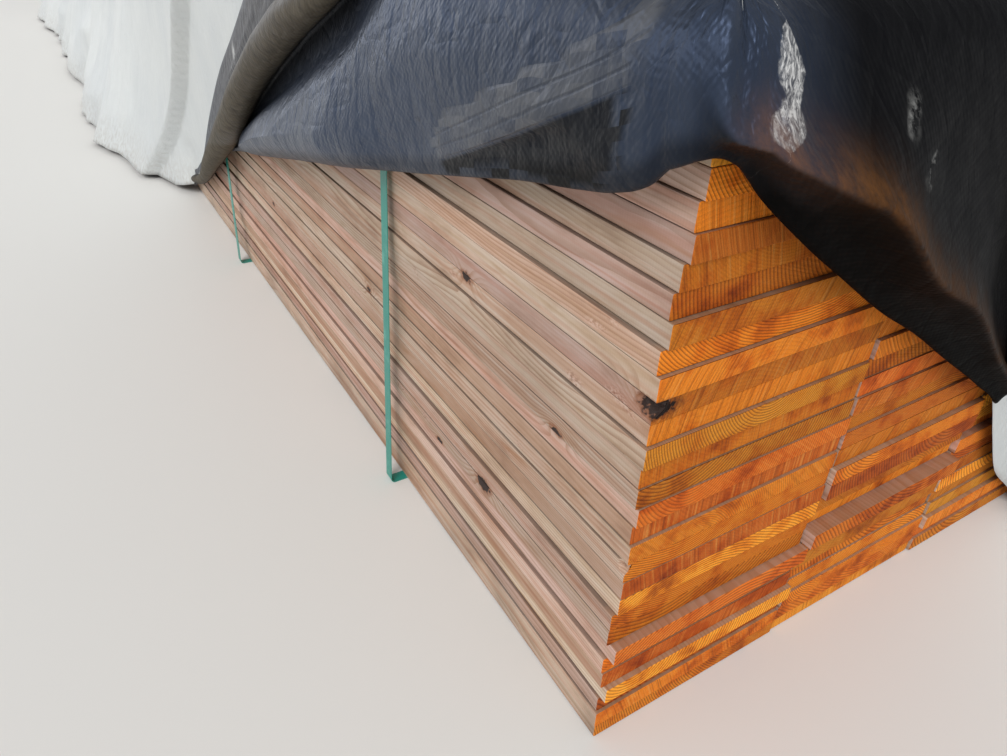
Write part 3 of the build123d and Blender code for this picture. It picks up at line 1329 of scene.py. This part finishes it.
        roll_way = self.roll_way(q, valley, rim)
        along = [
            (fold + 0.040, 0.003), (fold + 0.016, 0.004), (fold - 0.002, 0.007),
            (fold - 0.006, mix(0.018 - 0.004 * snug, 0.009)),
            (fold - 0.001 * wide, mix(0.034 - 0.017 * snug, 0.012)),
            (fold + 0.011 * wide, mix(0.045 - 0.025 * snug, 0.013)),
            (fold + 0.030 * wide, mix(0.051 - 0.028 * snug, 0.013)),
            (fold + mix(np.minimum(0.30 * lift, 0.070), 0.2 * lift), mix(0.050 - 0.023 * snug, 0.012)),
            (fold + mix(np.minimum(0.50 * lift, 0.130), 0.4 * lift), mix(0.043 - 0.013 * snug, 0.011)),
            (fold + mix(np.minimum(0.74 * lift, 0.220), 0.7 * lift), mix(0.030, 0.010)),
            (fold + 0.88 * lift, mix(0.014, 0.009)), *roll_way,
        ]
        across = [
            (fold + 0.040, 0.003), (fold + 0.014, 0.004), (fold + 0.001, lip - 0.006),
            (fold - 0.001, lip), (fold + 0.25 * up, lip + 0.12 * out_by),
            (fold + 0.62 * up, lip + 0.40 * out_by), (ridge - 0.002, far),
            (ridge + 0.001, far + 0.002), (ridge + 0.010, far - 0.004),
            (ridge + np.minimum(0.05, 0.4 * past), np.maximum(far - 0.020, 0.014)),
            (valley - 0.12 * past, 0.014), *roll_way,
        ]

        def stack(way: list) -> np.ndarray:
            """The control points of one kind of section for every column."""
            pairs = [np.stack(np.broadcast_arrays(w + 0 * q, d + 0 * q), -1) for w, d in way]
            return np.stack(pairs, 1)

        end = smoothstep(-0.030, 0.020, s)[:, None, None]
        line, place = spline_rows((1 - end) * stack(along) + end * stack(across), self.flap_rows)
        # rows of the rolled hem, of its flat rim, and of the hollow under the ridge, which gets painted shade
        first = len(along) - len(roll_way)
        rolled = smoothstep(first - 0.5, first + 0.7, place)[None, :]
        flat_rim = smoothstep(first + 7.2, first + 8.4, place)[None, :]
        hollow = end[:, 0] * (1 - smoothstep(5.9, 6.7, place))[None, :]
        q, s = q[:, None], s[:, None]
        return ring, out, self.crease_flap(Flap(q, s, line[..., 0], line[..., 1], rolled, flat_rim, hollow))

    def measure(self, ring: np.ndarray, out: np.ndarray, q: np.ndarray) -> np.ndarray:
        """Each flap column's distance from the corner, measured on the cloth.

        Formula: the running length of the line that lies 40 mm outside the ring, less
        its value in the middle of the corner.

        Args:
            ring: Ring places in the shape (columns, 2).
            out: Outward directions in the same shape.
            q: Each column's distance from the near corner.

        Returns:
            Distances, negative on the long side.
        """
        steps = np.linalg.norm(np.diff(ring + 40 * MM * out, axis=0), axis=1)
        run = np.concatenate([[0.0], np.cumsum(steps)])
        return run - run[np.abs(q) < 1e-6].mean()

    def crease_flap(self, g: Flap) -> Flap:
        """Give the flap its folds and creases.

        Formula: below the taped seam the smooth distance is lowered and the cloth
        above laps over it; a sharp fold stands out at the corner; long folds, billows,
        crumple and fine creases are added outside the fold, and the part that lies on
        the top is flattened.

        Args:
            g: The smooth flap.

        Returns:
            The creased flap, with where it shows and where its seam is.
        """
        x, s, w, d = g.q, g.s, g.w, g.d
        end = smoothstep(-0.055, 0.055, s)
        shown = smoothstep(9 * MM, 24 * MM, d)
        above = w - curve(self.seam, x) - 1.2 * MM * noise(x / 0.09, 0, 51)
        room = curve(self.seam, x) - curve(self.fold, x)
        patch = smoothstep(-0.42, -0.34, x) * (1 - smoothstep(-0.17, -0.08, s))
        patch = patch * smoothstep(0.006, 0.030, room)
        smooth = d
        lowered = 0.55 * np.clip(d - 12 * MM, 0, None) * patch * shown
        lap = patch * shown * bell(above - 5 * MM, 7 * MM)
        d = d - lowered * (1 - smoothstep(-5 * MM, 1 * MM, above)) + 3 * MM * lap
        w = w - 4 * MM * lap
        # the sharp fold at the corner stands out a little
        tall = smoothstep(0.545, 0.565, w) * (1 - smoothstep(0.598, 0.622, w))
        d = d + 5 * MM * tall * bell(s - 0.050, 0.007)
        fan = np.arctan2(w - 0.575, np.abs(s) + 0.09)
        radial = (crease(fan / 0.34, 1.2 * s, 61) - 0.5) * 6 * MM * smoothstep(0.05, 0.16, s)
        slant = s * math.cos(0.55) + w * math.sin(0.55)
        cross = -s * math.sin(0.55) + w * math.cos(0.55)
        billow = 5 * MM * noise(slant / 0.30, cross / 0.11, 63)
        long_folds = 5 * MM * (crease(slant / 0.26, cross / 0.055, 65) - 0.5)
        # pleats that hang from the taut upper part, and flat facets near the corner
        pleated = smoothstep(-0.75, -0.50, s) * (1 - smoothstep(-0.26, -0.14, s))
        pleat = 2.2 * MM * (crease(s / 0.050 + 0.4 * w / 0.050, w / 0.30, 69, 1) - 0.5) * pleated
        near = bell(s + 0.13, 0.13) * smoothstep(0.48, 0.55, w)
        facet = crease(s / 0.13 - 0.3 * w / 0.13, w / 0.085 + 0.5 * s / 0.085, 67, 1)
        facet = 5 * MM * near * (facet - 0.5)
        tube = 3.0 * MM * (crease(s / 0.34, w / 0.034 - 0.55 * s / 0.034, 71) - 0.5) * g.rolled
        calm = smoothstep(0.0, 0.05, np.abs(w - curve(self.ridge, x))) * end + (1 - end)
        top = self.path.top
        wall = 1 - smoothstep(top - 0.05, top + 0.01, w)
        folds = radial * wall + (1 - 0.75 * end) * (billow + long_folds) + pleat + facet
        d = d + shown * ((1 - g.rolled) * calm * folds + tube)
        flat = smoothstep(top - 0.07, top + 0.03, w)
        corner = 1 - smoothstep(0.041, 0.13, np.abs(s))
        even = smooth[np.argmin(np.abs(s))][None, :]
        loose = (0.7 * smooth + 0.3 * d) * (1 - corner) + even * corner
        lying = 6 * MM + 0.26 * np.clip(loose, 0, None)
        d = np.clip(d * (1 - flat) + lying * flat, 2 * MM + 3 * MM * flat, None)
        return replace(g, w=w, d=d, shown=shown, above=above, room=room, end=end)

    def flap_marks(self, g: Flap) -> dict[str, np.ndarray]:
        """What the finish reads: dust, scuffs and seam; gloss, which also sets painted shade, and spindle;
        painted brown highlight on the ridge, tape and painted shade in the hollow.

        Args:
            g: The creased flap.

        Returns:
            Vectors by name, each in the shape (columns, rows, 3).
        """
        x, s, w = g.q, g.s, g.w
        scuffs = sum(bell(s - at_s, size) * bell(w - at_w, 1.7 * size) for at_s, at_w, size in self.scuffs)
        dip = smoothstep(0.06, 0.01, np.abs(w - curve(self.valley, x) - 0.005))
        dip = dip * (1 - g.end) * (1 - g.flat_rim)
        foot = 1 - smoothstep(0.004, 0.016, w - curve(self.fold, x))
        # the gloss falls on the end, in the valley, on the rolled hem and along the fold, and where it is low
        # the finish paints shade
        gloss_and_shade = 1 - 0.3 * smoothstep(-0.36, -0.12, s) - 0.65 * smoothstep(0.03, 0.10, s)
        gloss_and_shade = np.clip(gloss_and_shade - 0.5 * dip - 0.4 * g.rolled - 0.4 * foot, 0.05, 1.0)
        dusty = g.rolled * g.shown * (1 - 0.4 * g.flat_rim)
        ridge = w - curve(self.ridge, x)
        # painted brown highlight just above the ridge on the end
        ridge_highlight = bell(np.clip(ridge, 0, None), 0.018) * bell(np.clip(ridge, None, 0), 0.008)
        ridge_highlight = ridge_highlight * smoothstep(0.0, 0.05, s) * (1 - 0.7 * smoothstep(0.06, 0.30, s))
        taped = smoothstep(-0.42, -0.34, x) * (1 - smoothstep(-0.10, -0.045, s))
        taped = taped * g.shown * smoothstep(0.003, 0.014, g.room)
        over = np.clip(g.above / self.seam_band, -1, 1)
        return {
            "marks": np.stack([dusty, np.clip(scuffs, 0, 1), over], -1),
            "film": np.stack([gloss_and_shade, s - curve(self.spindle, w), curve(self.spindle_half, w)], -1),
            "highlight_tape_shade": np.stack([ridge_highlight, taped, g.hollow], -1),
        }

    def gathered(self, g: Flap) -> np.ndarray:
        """The flap's places along the cloth, gathered where it turns onto the top.

        Formula: on the wall the place is the one measured outside the ring; on the top
        the corner's columns draw together, and the difference fades along the sides.

        Args:
            g: The flap.

        Returns:
            Places in the shape (columns, rows).
        """
        most, fade, top = 0.039, 0.12, self.path.top
        shift = np.clip(g.s, -most, most) * np.exp(-np.clip(np.abs(g.s) - most, 0, None) / fade)
        return g.s - shift * smoothstep(top - 0.05, top + 0.05, g.w)

    def sheet_uv(self, piece: bpy.types.Object, across: np.ndarray, points: np.ndarray) -> None:
        """Lay the sheet's flat coordinates on a grid piece, in metres.

        Formula: a column's place along the cloth is one coordinate, and the length of
        cloth measured down the column is the other; where the last column joins the
        first, the first counts as one more column past the last.

        Args:
            piece: The grid piece before its thickness.
            across: Each point's place along the cloth, in the shape (columns, rows).
            points: Places in the shape (columns, rows, 3).
        """
        mesh = piece.data
        columns, rows = across.shape
        steps = np.linalg.norm(np.diff(points, axis=1), axis=2)
        down = np.concatenate([np.zeros((columns, 1)), np.cumsum(steps, axis=1)], axis=1)
        corners = np.empty(len(mesh.loops), np.int32)
        mesh.loops.foreach_get("vertex_index", corners)
        own = np.arange(len(corners)) // (4 * (rows - 1))
        last = across[-1, 0] + across[1, 0] - across[0, 0]
        u = np.where((own == columns - 1) & (corners // rows == 0), last, across.reshape(-1)[corners])
        layer = mesh.uv_layers.new(name="sheet")
        flat = np.stack([u, down.reshape(-1)[corners]], 1)
        layer.data.foreach_set("uv", flat.astype(np.float32).ravel())

    def sheet(
        self, name: str, points: np.ndarray, faces: list, across: np.ndarray,
        marks: dict[str, np.ndarray], finishes: tuple[bpy.types.Material, bpy.types.Material],
    ) -> bpy.types.Object:
        """One sheet piece from a grid, with its flat coordinates, thickness and two sides.

        Args:
            name: The piece's name.
            points: Places in the shape (columns, rows, 3).
            faces: Corner numbers of each polygon.
            across: Each point's place along the cloth.
            marks: The vectors that the finish reads, by name.
            finishes: The material of the side that its faces point to, and the other's.

        Returns:
            The piece.
        """
        piece = make_mesh(name, points.reshape(-1, 3), faces)
        for kind, values in marks.items():
            set_attribute(piece.data, kind, values)
        self.sheet_uv(piece, across, points)
        for finish in finishes:
            piece.data.materials.append(finish)
        wall = piece.modifiers.new("thickness", "SOLIDIFY")
        wall.thickness, wall.offset = self.thick, -1.0
        wall.material_offset, wall.material_offset_rim = 1, 1
        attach(piece, "root")
        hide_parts("wrap")
        return piece

    def build(self, white: bpy.types.Material, black: bpy.types.Material) -> list[bpy.types.Object]:
        """Make the cover and its turned-up corner.

        Args:
            white: The sheet's outer side.
            black: The sheet's inner side.

        Returns:
            The two pieces.
        """
        ring, out, run, w, d = self.cover_grid()
        # the columns stop short of the top's middle line, and one long face closes it
        faces = grid_quads(len(ring), self.cover_rows, True)[:, ::-1].tolist()
        faces.append(list(range(0, w.size, self.cover_rows)))
        plain = {"marks": (0.0, 0.0, 1.0), "film": (1.0, 1.0, 0.0), "highlight_tape_shade": (0.0, 0.0, 0.0)}
        cover = self.sheet(
            "wrap_cover", self.path.place(ring, out, w, d), faces, np.broadcast_to(run[:, None], w.shape),
            {name: np.tile(value, (w.size, 1)) for name, value in plain.items()}, (white, black),
        )
        ring, out, g = self.flap_grid()
        flap = self.sheet(
            "wrap_turned_corner", replace(self.path, edge=self.flap_edge).place(ring, out, g.w, g.d),
            grid_quads(len(ring), self.flap_rows, False).tolist(), self.gathered(g),
            self.flap_marks(g), (black, white),
        )
        return [cover, flap]


# The studio


@dataclass(frozen=True)
class Studio:
    """A plain pale floor, soft lamps, and the camera at the photograph's angle."""

    floor_colour: str = "E4E2DE"
    floor_size: float = 60.0
    sky_colour: str = "F4F6F8"
    # how bright the sky is to the object, and how much more to the camera
    sky_level: float = 0.60
    sky_extra: float = 0.32
    eye: tuple[float, float, float] = (2.7136, -0.8805, 0.6529)
    yaw: float = 148.07
    pitch: float = -33.665
    roll: float = 1.996
    lens: float = 26.19

    def camera(self) -> None:
        """The photograph's camera, worked out from the boards' vanishing points."""
        yaw, pitch, roll = (math.radians(v) for v in (self.yaw, self.pitch, self.roll))
        level = Vector((math.cos(yaw), math.sin(yaw), 0.0))
        ahead = math.cos(pitch) * level + Vector((0, 0, math.sin(pitch)))
        right0 = ahead.cross(Vector((0, 0, 1))).normalized()
        up0 = right0.cross(ahead)
        right = math.cos(roll) * right0 + math.sin(roll) * up0
        up = -math.sin(roll) * right0 + math.cos(roll) * up0
        data = bpy.data.cameras.new("camera")
        data.sensor_width, data.lens = 36.0, self.lens
        data.clip_start, data.clip_end = 0.01, 200.0
        camera = bpy.data.objects.new("camera", data)
        camera.matrix_world = Matrix.Translation(self.eye) @ Matrix((right, up, -ahead)).transposed().to_4x4()
        bpy.context.scene.collection.objects.link(camera)
        bpy.context.scene.camera = camera

    def lamp(
        self, name: str, kind: str, way: Vector, level: float, place: Vector | None = None, **settings
    ) -> bpy.types.Object:
        """One lamp.

        Args:
            name: The lamp's name.
            kind: "SUN" or "AREA".
            way: The direction that its light goes.
            level: Its power, for a square metre or in all.
            place: Where it hangs.
            **settings: The light's own properties.

        Returns:
            The lamp.
        """
        data = bpy.data.lights.new(name, kind)
        data.energy = level
        for key, value in settings.items():
            setattr(data, key, value)
        lamp = bpy.data.objects.new(name, data)
        lamp.location = place or (0, 0, 0)
        lamp.rotation_mode = "QUATERNION"
        lamp.rotation_quaternion = way.to_track_quat("-Z", "Y")
        bpy.context.scene.collection.objects.link(lamp)
        return lamp

    def box(self, name: str, place: tuple, aim: tuple, size: tuple[float, float], watts: float) -> None:
        """One soft box, which shows in glossy surfaces and lights nothing else.

        Args:
            name: The lamp's name.
            place: Where it hangs.
            aim: What it points at.
            size: Its width and height.
            watts: Its power.
        """
        place = Vector(place)
        shape = {"shape": "RECTANGLE", "size": size[0], "size_y": size[1]}
        self.lamp(name, "AREA", Vector(aim) - place, watts, place, **shape).visible_diffuse = False

    def floor(self) -> None:
        """A wide flat floor under the stack."""
        s = self.floor_size
        corners = [(-s, -s, 0), (s, -s, 0), (s, s, 0), (-s, s, 0)]
        floor = make_mesh("floor", corners, [[0, 1, 2, 3]], smooth=False)
        f = Finish("pale_floor")
        shader = f.add("BsdfPrincipled", Base_Color=self.floor_colour, Roughness=0.9)
        add_node(f.tree, "OutputMaterial", Surface=shader)
        floor.data.materials.append(f.made)

    def surroundings(self) -> None:
        """An even white world, a little dimmer to the object than to the camera."""
        world = bpy.data.worlds.new("studio")
        world.use_nodes = True
        tree = world.node_tree
        tree.nodes.clear()
        sight = Value(tree, add_node(tree, "LightPath").outputs["Is Camera Ray"])
        level = sight * self.sky_extra + self.sky_level
        back = add_node(tree, "Background", Color=self.sky_colour, Strength=level)
        add_node(tree, "OutputWorld", Surface=Value(tree, back.outputs[0]))
        bpy.context.scene.world = world

    def build(self) -> None:
        """Put up the floor, lamps, world and camera, and set the plain view transform."""
        self.camera()
        self.floor()
        self.surroundings()
        self.lamp("soft_sun", "SUN", Vector((-0.45, 0.55, -0.70)), 1.72, angle=math.radians(32.0))
        self.box("side_box", (0.6, -4.6, 2.6), (0.8, 0.0, 0.2), (5.0, 1.6), 45.0)
        self.box("low_box", (-3.6, -2.6, 1.5), (1.6, -0.7, 0.4), (3.2, 2.4), 26.0)
        bpy.context.scene.view_settings.view_transform = "Standard"


# The object


WHITE_SIDE = WovenPolyethylene(
    WrapSide.WHITE, colour="D6D9D8", shade="CDD1D2", scuff="E6E9E9", painted_shade="D6D9D8", sheen="FFFFFF",
    roughness=0.48, shine=0.5, crinkle=0.6, index=1.51,
)
# the black side's blue-black colour and lighter blue shade are a painted reflection of sky on its glossy
# film, and its dark brown for low gloss is painted shade
BLACK_SIDE = WovenPolyethylene(
    WrapSide.BLACK, colour="161C26", shade="232B38", scuff="676A6E", painted_shade="0B0907", sheen="AFC6F4",
    roughness=0.31, shine=0.85, crinkle=1.0, index=1.65,
)
# knots on the near side as (x, z, size), and how deep they lie; the last is a pocket of
# bark at the near corner, which also shows on the end
KNOTS = (
    (2.182, 0.360, 6 * MM, 0.0), (1.506, 0.204, 4 * MM, 0.0), (1.927, 0.233, 4 * MM, 0.0),
    (2.231, 0.149, 8 * MM, 0.0), (2.336, 0.288, 5 * MM, 0.0), (2.131, 0.137, 4 * MM, 0.0),
    (2.436, 0.3740, 8 * MM, 4 * MM),
)
ROOM_FOR_STRAPS = 1.1 * MM


def main() -> None:
    """Build and dress the stack, then the studio, and log each piece's faces."""
    logging.basicConfig(level=logging.INFO, format="%(name)s: %(message)s")
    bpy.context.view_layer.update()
    Studio().build()
    boxes = [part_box(f"layer_{layer:02d}") for layer in range(1, LAYERS + 1)]
    low, high = (np.array([box[i] for box in boxes]) for i in (0, 1))
    near, far, reach = low[:, 1].min(), high[:, 1].max(), high[:, 0].max()
    knots = tuple((x, near + depth, z, size) for x, z, size, depth in KNOTS)
    planed = PlanedSoftwood(RingPattern(knots=knots)).material()
    sawn = SawnEndGrain(RingPattern(knots=knots[-1:])).material()
    pieces = BoardStack().build(planed, sawn)
    strap = PolyesterStrap().material()
    for number in range(1, STRAPS + 1):
        pieces.append(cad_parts[f"strap_{number}"])
        pieces[-1].data.materials.clear()
        pieces[-1].data.materials.append(strap)
    path = WrapPath(near, far, reach, high[:, 2].max() + ROOM_FOR_STRAPS)
    cover, flap = LumberWrap(path).build(WHITE_SIDE.material(), BLACK_SIDE.material())
    for piece in (*pieces, cover, flap):
        LOG.info("%s: %d faces", piece.name, len(piece.data.polygons))


if __name__ == "__main__":
    main()
